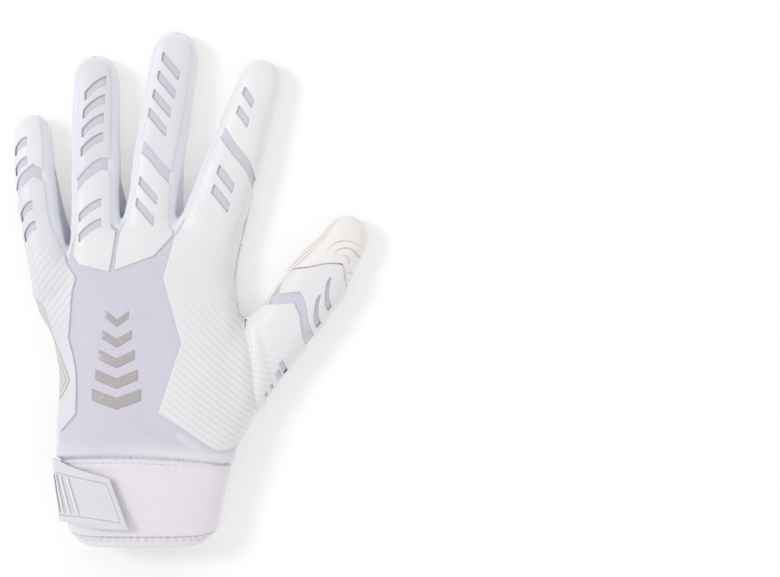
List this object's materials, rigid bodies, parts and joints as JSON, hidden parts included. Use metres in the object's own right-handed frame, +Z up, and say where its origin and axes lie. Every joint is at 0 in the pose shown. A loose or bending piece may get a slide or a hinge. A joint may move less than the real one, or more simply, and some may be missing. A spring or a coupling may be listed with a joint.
{
  "type": "football receiver glove",
  "caption": "Left-hand receiver glove lying palm down, with film overlays on the back, side strips between fingers, a neoprene cuff and a strap with a moulded tab.",
  "frame": {"origin": "middle of the glove's box on the surface that it lies on", "axes": "+Y from cuff to fingertips, +X to the thumb side, +Z up from the palm through the back of the hand"},
  "size_m": [0.1628, 0.2356, 0.0289],
  "materials": {
    "palm_print": "tacky cream silicone palm with a taupe line print",
    "back_knit": "fine matt lavender-grey knit",
    "side_knit": "smooth stretch knit, pale blue-grey",
    "film": "thin satin white moulded film",
    "neoprene": "matt knit-faced neoprene, faint pink",
    "hem_tape": "folded stretch tape with twin stitching",
    "tab_rubber": "satin moulded rubber"
  },
  "bodies": {
    "root": {"palm": "palm_print", "palm_thumb": "palm_print", "back": "back_knit", "fourchette_little_ring": "side_knit", "fourchette_ring_middle": "side_knit", "fourchette_middle_index": "side_knit", "film_little_tip": "film", "film_ring_tip": "film", "film_middle_tip": "film", "film_index_tip": "film", "film_thumb_tip": "film", "film_little_side": "film", "film_ring_base": "film", "film_middle_base": "film", "film_index_side": "film", "film_thumb_base": "film", "cuff": "neoprene", "cuff_hem": "hem_tape", "strap": "hem_tape", "strap_tab": "tab_rubber", "side_binding": "hem_tape"}
  },
  "joints": []
}
